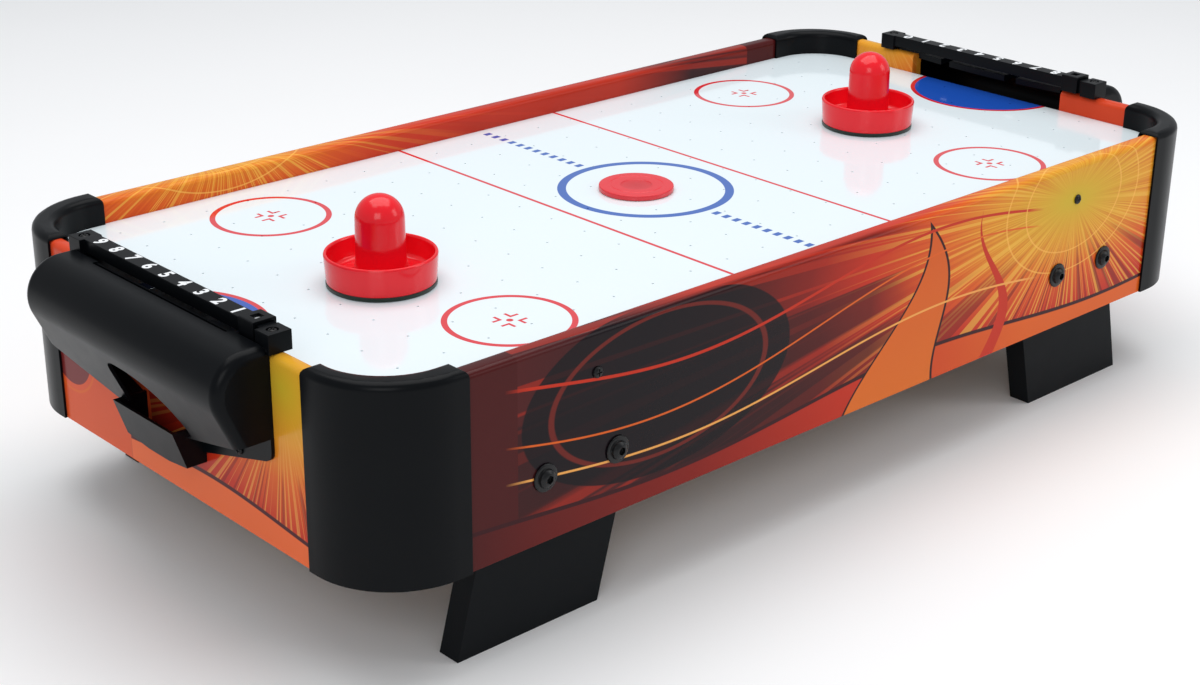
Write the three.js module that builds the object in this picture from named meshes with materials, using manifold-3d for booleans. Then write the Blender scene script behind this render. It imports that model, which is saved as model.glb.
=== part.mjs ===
// Tabletop air hockey table with hooded goals, bar scorers, two strikers and a puck.
// Millimetres, +Z up. The origin is on the floor under the table's centre, +X runs along the
// table, and -X is the end whose scorer reads 0. Both ends are one design, turned half a turn.
import * as THREE from 'three';
import { mergeVertices } from 'three/addons/utils/BufferGeometryUtils.js';
import Module from 'manifold-3d';

const wasm = await Module();
wasm.setup();

// ---------- driving dimensions ----------
const GAP = 0.3; // between pieces that touch
const HALF_LENGTH = 426; // outer face of the end boards
const HALF_WIDTH = 215; // outer face of the side boards
const RAIL_BOTTOM = 71;
const RAIL_TOP = 203;
const SIDE_BOARD = 15;
const END_BOARD = 12;
const RAIL_EDGE_RADIUS = 4.5;

const SURFACE_TOP = 185.7;
const SURFACE_BOARD = 4;
const BASE_TOP = 155; // floor of the air chamber
const BASE_BOARD = 3;
const BATTEN_WIDTH = 17;
const SIDE_BATTEN_HALF = 345;
const END_BATTEN_HALF = 140;

const CAP_ALONG_SIDE = 70; // cap length along the side board
const CAP_ALONG_END = 67;
const CAP_PROUD = 2; // stands out from the boards it clasps
const CAP_RISE = 3.5; // above the boards
const CAP_OUTER_RADIUS = 62;
const CAP_INNER_RADIUS = 44;
const CAP_EDGE_RADIUS = 5.5;
const BOARD_IN_CAP = 7; // length of board inside a cap

const LEG_FOOT_OUTER = 356; // x at the floor
const LEG_FOOT_INNER = 237;
const LEG_SPLAY = 0.265; // sideways run for each unit of height
const LEG_TOP = 150;
const LEG_BOARD = 18;
const LEG_BOLT_HEIGHT = 116;
const LEG_BOLT_SPREAD = 61;

const GOAL_HALF = 81.5;
const GOAL_SILL = 178;

const HOOD_HALF = 115;
const HOOD_TOP = 208.5;
const HOOD_RADIUS = 25.8;
const HOOD_DEPTH = 39.8;
const HOOD_WALL = 2.4;
const HOOD_LEAN = THREE.MathUtils.degToRad(25);
const HOOD_EDGE_HEIGHT = 148; // lower edge at the hood's ends
const HOOD_MIDDLE_HEIGHT = 126; // lower edge beside the tray
const HOOD_FLANGE_DROP = 15;
const HOOD_SCREW_Y = 80;
const HOOD_END_RADIUS = 7; // rounding where the hood's face turns into its ends
const LEDGE = 1.3; // thin ledge that runs under the score bar
const LEDGE_HALF = 102;
const LIP_HALF = 78; // bowed lip inside the goal
const LIP_BOTTOM = 199.4;
const LIP_RELIEFS = [[22, 34], [-50, -40]]; // gaps in the ledge and lip
const LIP_INSET = 6; // from the bar's outer face to the lip's ends
const LIP_BOW = 11; // further in at its middle, as the curve's control point
const LIP_ROOT = 4; // how far the lip reaches out over the end board
const HOOD_OVERLAP = 5; // how far the hood's hollow runs in past the end board's face
const HOOD_SECTION_FOOT = 6; // outside drawn this far below its lower edge, then trimmed
// Rounded lower corner of the hood's flange: distance in from the end, and up from the drop.
const FLANGE_CORNER = [[6, -1.7], [2.4, 0.3], [0.6, 2.6], [0, 6]];
const RETURN_INSET = 2.5;
const RETURN_DEPTH = 8; // gap that the puck drops through behind the hood's top
const MOUTH_SIDE = 25; // upright side of the mouth
const MOUTH_TOP = 165.5;
const MOUTH_SHOULDER = 155;
const MOUTH_ARCH = [[10, MOUTH_TOP], [-18, MOUTH_TOP], [-40, 158], [-50, 137]];
const TRAY_CHAMFER = 3.5;

const TRAY_HALF = 36;
const TRAY_RIM = 130;
const TRAY_BOTTOM = 100;
const TRAY_DEPTH_TOP = 24;
const TRAY_DEPTH_BOTTOM = 14;

const BAR_HALF = 117.5;
const BAR_TOP = 216.5;
const BAR_BLOCK_LENGTH = 14.5;
const BAR_OUTER = 428; // distance of the block's outer face from the table's centre
const BAR_INNER = 411;
const BEAM_OUTER = 424.3;
const BEAM_INNER = 412.3;
const BEAM_BOTTOM = 207;
const DIGIT_PITCH = 20.4;
const DIGIT_SPAN = 9 * DIGIT_PITCH;
const SLIDER_LENGTH = 16;
const SLIDER_WALL = 2.2;
const BAR_SCREW_HEAD = 3.4; // radius
const BAR_SINK = 2; // depth of the screws' counterbore

const STRIKER_RADIUS = 38.6;
const STRIKER_RIM = 23;
const STRIKER_HEIGHT = 62.7;
const KNOB_RADIUS = 16.8;
const FELT = 2.5;
const NEAR_STRIKER = [-277, -27];
const FAR_STRIKER = [254, 0];
const PUCK_RADIUS = 28.7;
const PUCK_HEIGHT = 4;
const PUCK_PLACE = [-12, 3];

const FAN_SIDE = 92;
const FAN_HEIGHT = 25;
const FAN_BORE = 43;
const FAN_HUB = 19;
const FAN_BLADES = 7;

const CONTROL_X = 90; // centre of the control plate on the far side board
const CONTROL_Z = 112;
const SWITCH_OFFSET = 14; // from the plate's centre
const JACK_OFFSET = -16;

// ---------- materials ----------
const material = (color, roughness, metalness = 0) =>
  new THREE.MeshStandardMaterial({ color, roughness, metalness });
const LAMINATE = material(0xb4401c, 0.3);
const PLAYFIELD = material(0xe5f5f9, 0.2);
const RAW_BOARD = material(0x9a7a55, 0.85);
const BLACK_PLASTIC = material(0x14181b, 0.4);
const MATT_BLACK = material(0x17191b, 0.65);
const BLACK_STEEL = material(0x101214, 0.35, 0.8);
const RED_PLASTIC = material(0xe0202b, 0.25);
const PUCK_PLASTIC = material(0xf04850, 0.35);
const FELT_BLACK = material(0x16201c, 0.95);
const STEEL = material(0x9a9da0, 0.35, 1);

// ---------- solids ----------
function toSolid(geometry) {
  geometry.deleteAttribute('normal');
  geometry.deleteAttribute('uv');
  const merged = mergeVertices(geometry, 1e-4);
  return new wasm.Manifold(
    new wasm.Mesh({
      numProp: 3,
      vertProperties: new Float32Array(merged.attributes.position.array),
      triVerts: new Uint32Array(merged.index.array),
    }),
  );
}

function toGeometry(solid) {
  const mesh = solid.getMesh();
  const geometry = new THREE.BufferGeometry();
  geometry.setAttribute('position', new THREE.BufferAttribute(mesh.vertProperties, mesh.numProp));
  geometry.setIndex(new THREE.BufferAttribute(mesh.triVerts, 1));
  geometry.computeVertexNormals();
  return geometry;
}

function block(low, high) {
  const size = high.map((value, i) => value - low[i]);
  const geometry = new THREE.BoxGeometry(...size);
  geometry.translate(...low.map((value, i) => value + size[i] / 2));
  return toSolid(geometry);
}

// An outline drawn in (x, y), (x, z) or (y, z), pulled along the third axis from one value to another.
const PLANES = {
  xy: new THREE.Matrix4(),
  xz: new THREE.Matrix4().makeBasis(
    new THREE.Vector3(1, 0, 0),
    new THREE.Vector3(0, 0, 1),
    new THREE.Vector3(0, -1, 0),
  ),
  yz: new THREE.Matrix4().makeBasis(
    new THREE.Vector3(0, 1, 0),
    new THREE.Vector3(0, 0, 1),
    new THREE.Vector3(1, 0, 0),
  ),
};

function prism(plane, outline, from, to, options = {}) {
  const shape = Array.isArray(outline)
    ? new THREE.Shape(outline.map(([u, v]) => new THREE.Vector2(u, v)))
    : outline;
  const geometry = new THREE.ExtrudeGeometry(shape, {
    depth: to - from,
    bevelEnabled: false,
    curveSegments: 10,
    ...options,
  });
  geometry.applyMatrix4(PLANES[plane]);
  const start = { xy: [0, 0, from], xz: [0, to, 0], yz: [from, 0, 0] }[plane];
  geometry.translate(...start);
  return toSolid(geometry);
}

// A round piece turned about an axis from (radius, distance) points.
const AXES = { x: [0, 0, -Math.PI / 2], y: [0, 0, 0], z: [Math.PI / 2, 0, 0], '-y': [Math.PI, 0, 0] };

function turned(axis, profile, segments, place = [0, 0, 0]) {
  const points = profile.map(([radius, along]) => new THREE.Vector2(radius, along));
  const geometry = new THREE.LatheGeometry(points, segments);
  geometry.applyMatrix4(new THREE.Matrix4().makeRotationFromEuler(new THREE.Euler(...AXES[axis])));
  geometry.translate(...place);
  return toSolid(geometry);
}

// A closed body through rings of (x, y, z) points, all with the same number of points.
function lofted(rings, capPlane) {
  const count = rings[0].length;
  const corners = rings.flat(2);
  const triangles = [];
  rings.slice(1).forEach((_, i) => {
    for (let k = 0; k < count; k += 1) {
      const next = (k + 1) % count;
      const [a, b] = [i * count + k, i * count + next];
      const [c, d] = [a + count, b + count];
      triangles.push(a, b, d, a, d, c);
    }
  });
  const flat = rings[0].map((point) => new THREE.Vector2(...capPlane.map((axis) => point[axis])));
  const last = (rings.length - 1) * count;
  const clockwise = THREE.ShapeUtils.isClockWise(flat);
  for (const [a, p, q] of THREE.ShapeUtils.triangulateShape(flat, [])) {
    const [b, c] = clockwise ? [q, p] : [p, q];
    triangles.push(a, c, b, last + a, last + b, last + c);
  }
  const geometry = new THREE.BufferGeometry();
  geometry.setAttribute('position', new THREE.Float32BufferAttribute(corners, 3));
  geometry.setIndex(triangles);
  return toSolid(geometry);
}

function rod(axis, radius, low, high, place, segments = 16) {
  return turned(axis, [[0, low], [radius, low], [radius, high], [0, high]], segments, place);
}

function arc(centre, radius, from, to, steps) {
  return Array.from({ length: steps + 1 }, (_, i) => {
    const angle = from + ((to - from) * i) / steps;
    return [centre[0] + radius * Math.cos(angle), centre[1] + radius * Math.sin(angle)];
  });
}

const union = (solids) => solids.reduce((all, solid) => all.add(solid));
const cut = (solid, tools) => tools.reduce((rest, tool) => rest.subtract(tool), solid);

function addPart(parent, name, solid, look) {
  const mesh = new THREE.Mesh(toGeometry(solid), look);
  mesh.name = name;
  parent.add(mesh);
  return mesh;
}

const table = new THREE.Group();

// ---------- boards and rails ----------
// A board's end view, with both top edges rounded, between two distances from the centre line.
function boardProfile(inner, outer) {
  const r = RAIL_EDGE_RADIUS;
  return [
    [inner, RAIL_BOTTOM],
    [outer, RAIL_BOTTOM],
    ...arc([outer - r, RAIL_TOP - r], r, 0, Math.PI / 2, 4),
    ...arc([inner + r, RAIL_TOP - r], r, Math.PI / 2, Math.PI, 4),
  ];
}

const SIDE_INNER = HALF_WIDTH - SIDE_BOARD;
const END_INNER = HALF_LENGTH - END_BOARD;
const SIDE_BOARD_HALF = HALF_LENGTH - CAP_ALONG_SIDE + BOARD_IN_CAP;
const END_BOARD_HALF = HALF_WIDTH - CAP_ALONG_END + BOARD_IN_CAP;
const RAIL_SCREW_X = 253;
const RAIL_SCREW_Z = 174.5;
const BOLT_RADIUS = 3;
const SCREW_RADIUS = 1.6;

const legMiddle = (height) => (LEG_FOOT_OUTER + LEG_FOOT_INNER) / 2 - LEG_SPLAY * height;
const legBoltXs = [-1, 1].map((side) => legMiddle(LEG_BOLT_HEIGHT) + (side * LEG_BOLT_SPREAD) / 2);

// A clearance hole through a side board and whatever is fastened behind it.
function throughSide(radius, x, z, side) {
  const reach = SIDE_BOARD + LEG_BOARD + 5;
  return rod('y', radius + GAP, side * HALF_WIDTH - reach, side * HALF_WIDTH + reach, [x, 0, z]);
}

function sideRail(side) {
  const mirrored = boardProfile(SIDE_INNER, HALF_WIDTH).map(([y, z]) => [side * y, z]);
  const board = prism('yz', mirrored, -SIDE_BOARD_HALF, SIDE_BOARD_HALF);
  const holes = [-1, 1].flatMap((end) => [
    ...legBoltXs.map((x) => throughSide(BOLT_RADIUS, end * x, LEG_BOLT_HEIGHT, side)),
    throughSide(SCREW_RADIUS, end * RAIL_SCREW_X, RAIL_SCREW_Z, side),
  ]);
  return cut(board, holes);
}

const CONTROL_HOLE = [48, 18]; // opening in the far side board behind the control plate

const controlOpening = block(
  [CONTROL_X - CONTROL_HOLE[0] / 2, SIDE_INNER - 1, CONTROL_Z - CONTROL_HOLE[1] / 2],
  [CONTROL_X + CONTROL_HOLE[0] / 2, HALF_WIDTH + 1, CONTROL_Z + CONTROL_HOLE[1] / 2],
);
addPart(table, 'side_rail_near', sideRail(-1), LAMINATE);
addPart(table, 'side_rail_far', sideRail(1).subtract(controlOpening), LAMINATE);

const BAR_SCREW_Y = BAR_HALF - BAR_BLOCK_LENGTH / 2;
const BAR_SCREW_X = HALF_LENGTH - END_BOARD / 2;
const BAR_SCREW_DEPTH = 12;
const HOOD_SCREW_Z = 128.5;
const screwHole = SCREW_RADIUS + GAP;
const barScrewPlace = (side) => [-BAR_SCREW_X, side * BAR_SCREW_Y, 0];
const hoodScrewPlace = (side) => [0, side * HOOD_SCREW_Y, HOOD_SCREW_Z];

// Pieces of one end are drawn at the -X end; the far end is the same group turned half a turn.
function endRail() {
  const board = prism(
    'xz',
    boardProfile(END_INNER, HALF_LENGTH).map(([x, z]) => [-x, z]),
    -END_BOARD_HALF,
    END_BOARD_HALF,
  );
  const mouth = block([-HALF_LENGTH - 1, -GOAL_HALF, GOAL_SILL], [-END_INNER + 1, GOAL_HALF, RAIL_TOP + 1]);
  const holes = [-1, 1].flatMap((side) => [
    rod('z', screwHole, RAIL_TOP - BAR_SCREW_DEPTH, RAIL_TOP + 1, barScrewPlace(side)),
    rod('x', screwHole, -HALF_LENGTH - 1, -END_INNER + 1, hoodScrewPlace(side)),
  ]);
  return cut(board, [mouth, ...holes]);
}

// Plan outline inside the rails, stepping in where the caps clasp the boards.
function innerOutline(clearance) {
  const capX = HALF_LENGTH - CAP_ALONG_SIDE - clearance;
  const capY = HALF_WIDTH - CAP_ALONG_END - clearance;
  const x = END_INNER - clearance;
  const y = SIDE_INNER - clearance;
  const steppedX = x - CAP_PROUD;
  const steppedY = y - CAP_PROUD;
  const r = CAP_INNER_RADIUS;
  const corner = [
    [x, capY],
    [steppedX, capY],
    ...arc([steppedX - r, steppedY - r], r, 0, Math.PI / 2, 14),
    [capX, steppedY],
    [capX, y],
  ];
  const flip = (points, sx, sy) => points.map(([px, py]) => [sx * px, sy * py]);
  return [
    ...corner,
    ...flip(corner, -1, 1).reverse(),
    ...flip(corner, -1, -1),
    ...flip(corner, 1, -1).reverse(),
  ];
}

addPart(
  table,
  'playing_surface',
  prism('xy', innerOutline(GAP), SURFACE_TOP - SURFACE_BOARD, SURFACE_TOP),
  PLAYFIELD,
);
addPart(
  table,
  'base_panel',
  prism('xy', innerOutline(GAP), BASE_TOP - BASE_BOARD, BASE_TOP).subtract(
    rod('z', FAN_BORE, BASE_TOP - 2 * BASE_BOARD, BASE_TOP + BASE_BOARD, [0, 0, 0], 32),
  ),
  RAW_BOARD,
);

const battenLow = BASE_TOP + GAP;
const battenHigh = SURFACE_TOP - SURFACE_BOARD - GAP;
for (const [name, side] of [['side_batten_near', -1], ['side_batten_far', 1]]) {
  const outer = SIDE_INNER - GAP;
  const ys = [side * outer, side * (outer - BATTEN_WIDTH)].sort((a, b) => a - b);
  const batten = cut(
    block([-SIDE_BATTEN_HALF, ys[0], battenLow], [SIDE_BATTEN_HALF, ys[1], battenHigh]),
    [-1, 1].map((end) => throughSide(SCREW_RADIUS, end * RAIL_SCREW_X, RAIL_SCREW_Z, side)),
  );
  addPart(table, name, batten, RAW_BOARD);
}

// ---------- corner caps ----------
function capOutline(sx, sy, inset) {
  const outerX = HALF_LENGTH + CAP_PROUD - inset;
  const outerY = HALF_WIDTH + CAP_PROUD - inset;
  const innerX = END_INNER - CAP_PROUD + inset;
  const innerY = SIDE_INNER - CAP_PROUD + inset;
  const startX = HALF_LENGTH - CAP_ALONG_SIDE;
  const startY = HALF_WIDTH - CAP_ALONG_END;
  const R = CAP_OUTER_RADIUS - inset;
  const r = CAP_INNER_RADIUS + inset;
  return [
    [startX, innerY],
    [startX, outerY],
    ...arc([outerX - R, outerY - R], R, Math.PI / 2, 0, 20),
    [outerX, startY],
    [innerX, startY],
    ...arc([innerX - r, innerY - r], r, 0, Math.PI / 2, 14),
  ].map(([x, y]) => [sx * x, sy * y]);
}

function cornerCap(sx, sy) {
  const r = CAP_EDGE_RADIUS;
  const top = RAIL_TOP + CAP_RISE;
  const low = RAIL_BOTTOM - 2 * r;
  const rounded = prism('xy', capOutline(sx, sy, 0), low + r, top - r, {
    bevelEnabled: true,
    bevelThickness: r,
    bevelSize: r,
    bevelOffset: -r,
    bevelSegments: 4,
  });
  const reach = HALF_LENGTH + HALF_WIDTH;
  const below = block([-reach, -reach, low - 1], [reach, reach, RAIL_BOTTOM]);
  // The hollow that takes the boards is open underneath and where each board enters.
  const wall = CAP_PROUD - GAP;
  const grown = capOutline(sx, sy, wall);
  const openEnds = grown.map(([x, y]) => [
    Math.abs(x) < HALF_LENGTH - CAP_ALONG_SIDE + 1 ? x - sx * 2 : x,
    Math.abs(y) < HALF_WIDTH - CAP_ALONG_END + 1 ? y - sy * 2 : y,
  ]);
  const hollow = prism('xy', openEnds, RAIL_BOTTOM - 1, RAIL_TOP + GAP);
  return cut(rounded, [below, hollow]);
}

for (const [name, sx, sy] of [
  ['corner_cap_near_left', -1, -1],
  ['corner_cap_near_right', 1, -1],
  ['corner_cap_far_left', -1, 1],
  ['corner_cap_far_right', 1, 1],
]) {
  addPart(table, name, cornerCap(sx, sy), BLACK_PLASTIC);
}

// ---------- legs and their bolts ----------
function leg(sx, sy) {
  const run = LEG_SPLAY * LEG_TOP;
  const outline = [
    [LEG_FOOT_INNER, 0],
    [LEG_FOOT_OUTER, 0],
    [LEG_FOOT_OUTER - run, LEG_TOP],
    [LEG_FOOT_INNER - run, LEG_TOP],
  ].map(([x, z]) => [sx * x, z]);
  const outer = SIDE_INNER - GAP;
  const ys = [sy * outer, sy * (outer - LEG_BOARD)].sort((a, b) => a - b);
  const board = prism('xz', outline, ys[0], ys[1]);
  return cut(board, legBoltXs.map((x) => throughSide(BOLT_RADIUS, sx * x, LEG_BOLT_HEIGHT, sy)));
}

const WASHER_RADIUS = 9.6;
const WASHER = 1.4;
const BOLT_HEAD_RADIUS = 6.6;
const BOLT_HEAD = 3.4;
const BOLT_LENGTH = 31;
const HEX_RADIUS = 2.9;

// Turned about +Y with the underside of the washer at 0; the shank runs towards -Y.
const boltProfile = [
  [0, -BOLT_LENGTH],
  [BOLT_RADIUS, -BOLT_LENGTH],
  [BOLT_RADIUS, 0],
  [WASHER_RADIUS, 0],
  [WASHER_RADIUS, WASHER * 0.6],
  [WASHER_RADIUS - 0.8, WASHER],
  [BOLT_HEAD_RADIUS, WASHER],
  [BOLT_HEAD_RADIUS * 0.94, WASHER + BOLT_HEAD * 0.55],
  [BOLT_HEAD_RADIUS * 0.66, WASHER + BOLT_HEAD * 0.9],
  [BOLT_HEAD_RADIUS * 0.5, WASHER + BOLT_HEAD],
  [0, WASHER + BOLT_HEAD],
];

function legBolt(x, sy) {
  const direction = sy > 0 ? 'y' : '-y';
  const place = [x, sy * (HALF_WIDTH + GAP), LEG_BOLT_HEIGHT];
  const body = turned(direction, boltProfile, 16, place);
  const socketFloor = WASHER + 1;
  const socketTop = WASHER + BOLT_HEAD + 1;
  const socketSide = [[HEX_RADIUS, socketFloor], [HEX_RADIUS, socketTop]];
  const socket = turned(direction, [[0, socketFloor], ...socketSide, [0, socketTop]], 6, place);
  return body.subtract(socket);
}

for (const [name, sx, sy] of [
  ['near_left', -1, -1],
  ['near_right', 1, -1],
  ['far_left', -1, 1],
  ['far_right', 1, 1],
]) {
  addPart(table, `leg_${name}`, leg(sx, sy), MATT_BLACK);
  legBoltXs.forEach((x, i) => {
    addPart(table, `leg_bolt_${name}_${i + 1}`, legBolt(sx * x, sy), BLACK_STEEL);
  });
}

// ---------- small cross-head screws ----------
// Turned about +Y with the head's underside at 0 and the shank towards -Y.
function screw(length, headRadius) {
  const head = 1.8;
  const profile = [
    [0, -length],
    [SCREW_RADIUS, -length + 1.5],
    [SCREW_RADIUS, 0],
    [headRadius, 0],
    [headRadius * 0.92, head * 0.55],
    [headRadius * 0.6, head],
    [0, head],
  ];
  const arm = headRadius * 0.62;
  const slot = 0.45;
  const crossHead = union([
    block([-arm, head - 0.9, -slot], [arm, head + 1, slot]),
    block([-slot, head - 0.9, -arm], [slot, head + 1, arm]),
  ]);
  return turned('y', profile, 12).subtract(crossHead);
}

const RAIL_SCREW_LENGTH = 28;
const RAIL_SCREW_HEAD = 4;
for (const [name, sx, sy] of [
  ['rail_screw_near_left', -1, -1],
  ['rail_screw_near_right', 1, -1],
  ['rail_screw_far_left', -1, 1],
  ['rail_screw_far_right', 1, 1],
]) {
  const mesh = addPart(table, name, screw(RAIL_SCREW_LENGTH, RAIL_SCREW_HEAD), BLACK_STEEL);
  mesh.position.set(sx * RAIL_SCREW_X, sy * (HALF_WIDTH + GAP), RAIL_SCREW_Z);
  mesh.rotation.z = sy > 0 ? 0 : Math.PI;
}

// ---------- goal hood with its puck tray ----------
// Section in (-x, z): a flat top, a round shoulder, and a face that leans back to the end board.
const hoodCentre = [HALF_LENGTH + HOOD_DEPTH - HOOD_RADIUS, HOOD_TOP - HOOD_RADIUS];
const hoodStart = HALF_LENGTH + 2.6; // leaves room for the score bar

function hoodSection(inset, low, back = hoodStart) {
  const radius = HOOD_RADIUS - inset;
  const shoulder = arc(hoodCentre, radius, Math.PI / 2, -HOOD_LEAN, 20);
  const [lastX, lastZ] = shoulder.at(-1);
  const footX = lastX - (lastZ - low) * Math.tan(HOOD_LEAN);
  return [[back, HOOD_TOP - inset], ...shoulder, [footX, low], [back, low]].map(([x, z]) => [-x, z]);
}

const hoodSlope = (HOOD_EDGE_HEIGHT - HOOD_MIDDLE_HEIGHT) / (HOOD_HALF - TRAY_HALF);
const edgeHeight = (y) => HOOD_MIDDLE_HEIGHT + hoodSlope * (y - TRAY_HALF);

// Everything above the hood's V-shaped lower edge, raised by a given amount.
function aboveEdge(raise, half, middle) {
  const outline = [
    [-half, edgeHeight(half) + raise],
    [-TRAY_HALF, HOOD_MIDDLE_HEIGHT + raise],
    [-TRAY_HALF, middle],
    [TRAY_HALF, middle],
    [TRAY_HALF, HOOD_MIDDLE_HEIGHT + raise],
    [half, edgeHeight(half) + raise],
    [half, HOOD_TOP + 1],
    [-half, HOOD_TOP + 1],
  ];
  return prism('yz', outline, -HALF_LENGTH - HOOD_DEPTH - 1, -HALF_LENGTH + 6);
}

// The mouth where the puck comes out: upright on one side, arched down on the other.
function mouthTool() {
  const shape = new THREE.Shape();
  const [archStart, archLift, archLean, archEnd] = MOUTH_ARCH;
  shape.moveTo(MOUTH_SIDE, HOOD_MIDDLE_HEIGHT - 2);
  shape.lineTo(MOUTH_SIDE, MOUTH_SHOULDER);
  shape.quadraticCurveTo(MOUTH_SIDE, MOUTH_TOP, ...archStart);
  shape.bezierCurveTo(...archLift, ...archLean, ...archEnd);
  shape.lineTo(archEnd[0], HOOD_MIDDLE_HEIGHT + 6);
  shape.lineTo(-TRAY_HALF + HOOD_WALL, HOOD_MIDDLE_HEIGHT - 2);
  return prism('yz', shape, -HALF_LENGTH - HOOD_DEPTH, -HALF_LENGTH - HOOD_WALL - 3, {
    curveSegments: 10,
  });
}

function trayShape(inset, top) {
  const front = (z) => {
    const rise = (z - TRAY_BOTTOM) / (TRAY_RIM - TRAY_BOTTOM);
    return HALF_LENGTH + TRAY_DEPTH_BOTTOM + rise * (TRAY_DEPTH_TOP - TRAY_DEPTH_BOTTOM) - inset;
  };
  const low = TRAY_BOTTOM + inset;
  const back = inset > 0 ? HALF_LENGTH - 1 : HALF_LENGTH + GAP;
  const side = prism(
    'xz',
    [[-back, low], [-front(low), low], [-front(top), top], [-back, top]],
    -TRAY_HALF + inset,
    TRAY_HALF - inset,
  );
  const half = TRAY_HALF - inset;
  const face = prism(
    'yz',
    [
      [-half, top],
      [-half, low + TRAY_CHAMFER],
      [-half / 3, low],
      [half / 3, low],
      [half, low + TRAY_CHAMFER],
      [half, top],
    ],
    -HALF_LENGTH - TRAY_DEPTH_TOP - 9,
    -HALF_LENGTH + 2,
  );
  return side.intersect(face);
}

// The hood's outside: its section swept across the table, drawn in towards both ends.
function hoodOutside(low) {
  const steps = 6;
  const ends = Array.from({ length: steps + 1 }, (_, i) => {
    const angle = (Math.PI / 2) * (1 - i / steps);
    return {
      inset: HOOD_END_RADIUS * (1 - Math.cos(angle)),
      y: HOOD_HALF - HOOD_END_RADIUS + HOOD_END_RADIUS * Math.sin(angle),
    };
  });
  const mirrored = ends.map(({ inset, y }) => ({ inset, y: -y }));
  const stations = [...ends, ...mirrored.reverse()];
  const rings = stations.map(({ inset, y }) => hoodSection(inset, low).map(([x, z]) => [x, y, z]));
  return lofted(rings, [0, 2]);
}

function goalHood() {
  const low = TRAY_BOTTOM - 1;
  const outer = hoodOutside(HOOD_MIDDLE_HEIGHT - HOOD_SECTION_FOOT).intersect(
    aboveEdge(0, HOOD_HALF + 1, HOOD_MIDDLE_HEIGHT),
  );
  const end = HOOD_HALF - HOOD_WALL;
  const innerSection = hoodSection(HOOD_WALL, low, HALF_LENGTH - HOOD_OVERLAP);
  const inner = prism('xz', innerSection, -end, end).intersect(
    aboveEdge(HOOD_WALL, end + 1, HOOD_MIDDLE_HEIGHT - 4),
  );
  // Closes the strip between the section's back edge and the end board.
  const backStrip = cut(
    block([-hoodStart - 1, -HOOD_HALF, TRAY_BOTTOM], [-HALF_LENGTH - GAP, HOOD_HALF, RAIL_TOP + GAP]),
    [block([-hoodStart - 2, -end, TRAY_BOTTOM - 1], [-HALF_LENGTH, end, RAIL_TOP + 2])],
  );
  const returnGap = block(
    [-HALF_LENGTH - 7, -GOAL_HALF + RETURN_INSET, HOOD_TOP - RETURN_DEPTH],
    [-HALF_LENGTH + 1, GOAL_HALF - RETURN_INSET, HOOD_TOP + 1],
  );
  const shell = cut(outer, [inner, returnGap]);
  const flangeSpan = [-HALF_LENGTH - GAP - HOOD_WALL, -HALF_LENGTH - GAP];
  const flangeFoot = HOOD_EDGE_HEIGHT - HOOD_FLANGE_DROP;
  const flange = [-1, 1].map((side) =>
    prism(
      'yz',
      [
        [TRAY_HALF - 1, HOOD_MIDDLE_HEIGHT - HOOD_FLANGE_DROP],
        ...FLANGE_CORNER.map(([inwards, up]) => [HOOD_HALF - inwards, flangeFoot + up]),
        [HOOD_HALF, HOOD_EDGE_HEIGHT + 1],
        [TRAY_HALF - 1, HOOD_MIDDLE_HEIGHT + 1],
      ].map(([y, z]) => [side * y, z]),
      ...flangeSpan,
    ),
  );
  // The floor that slopes to the tray reaches back to the flange.
  const floorStrip = [-1, 1].map((side) =>
    prism(
      'yz',
      [
        [TRAY_HALF - 1, HOOD_MIDDLE_HEIGHT],
        [HOOD_HALF, HOOD_EDGE_HEIGHT],
        [HOOD_HALF, HOOD_EDGE_HEIGHT + HOOD_WALL],
        [TRAY_HALF - 1, HOOD_MIDDLE_HEIGHT + HOOD_WALL],
      ].map(([y, z]) => [side * y, z]),
      -hoodStart - 1,
      flangeSpan[1],
    ),
  );
  const tray = trayShape(0, TRAY_RIM).subtract(trayShape(HOOD_WALL, TRAY_RIM + 1));
  const endStrips = backStrip.intersect(aboveEdge(0, HOOD_HALF + 1, HOOD_MIDDLE_HEIGHT));
  const body = union([shell, endStrips, ...floorStrip, ...flange]);
  const opened = cut(body, [mouthTool(), trayShape(HOOD_WALL, TRAY_RIM + 1)]);
  // A thin ledge fills the gap under the score bar, with a bowed lip below it over the goal.
  const ledgeTop = RAIL_TOP + GAP + LEDGE;
  const lipBack = -HALF_LENGTH - LIP_ROOT;
  const lipEdge = -BEAM_OUTER + LIP_INSET;
  const lipMiddle = lipEdge + LIP_BOW;
  const lipPlan = new THREE.Shape();
  lipPlan.moveTo(lipBack, -LIP_HALF);
  lipPlan.lineTo(lipEdge, -LIP_HALF);
  lipPlan.quadraticCurveTo(lipMiddle, 0, lipEdge, LIP_HALF);
  lipPlan.lineTo(lipBack, LIP_HALF);
  const lip = prism('xy', lipPlan, LIP_BOTTOM, ledgeTop, { curveSegments: 12 });
  const ledge = block([lipBack, -LEDGE_HALF, RAIL_TOP + GAP], [lipEdge, LEDGE_HALF, ledgeTop]);
  const web = block([lipBack, -LEDGE_HALF, RAIL_TOP + GAP], [-hoodStart, LEDGE_HALF, HOOD_TOP - 1]);
  const reliefs = LIP_RELIEFS.map(([from, to]) =>
    block([-hoodStart + 0.5, from, LIP_BOTTOM - 1], [lipMiddle + 3, to, ledgeTop + 1]),
  );
  const underBar = cut(union([lip, ledge, web]), reliefs);
  const holes = [-1, 1].map((side) =>
    rod('x', screwHole, -HALF_LENGTH - 6, -HALF_LENGTH + 1, hoodScrewPlace(side), 12),
  );
  return cut(union([opened, tray, underBar]), holes);
}

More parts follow.
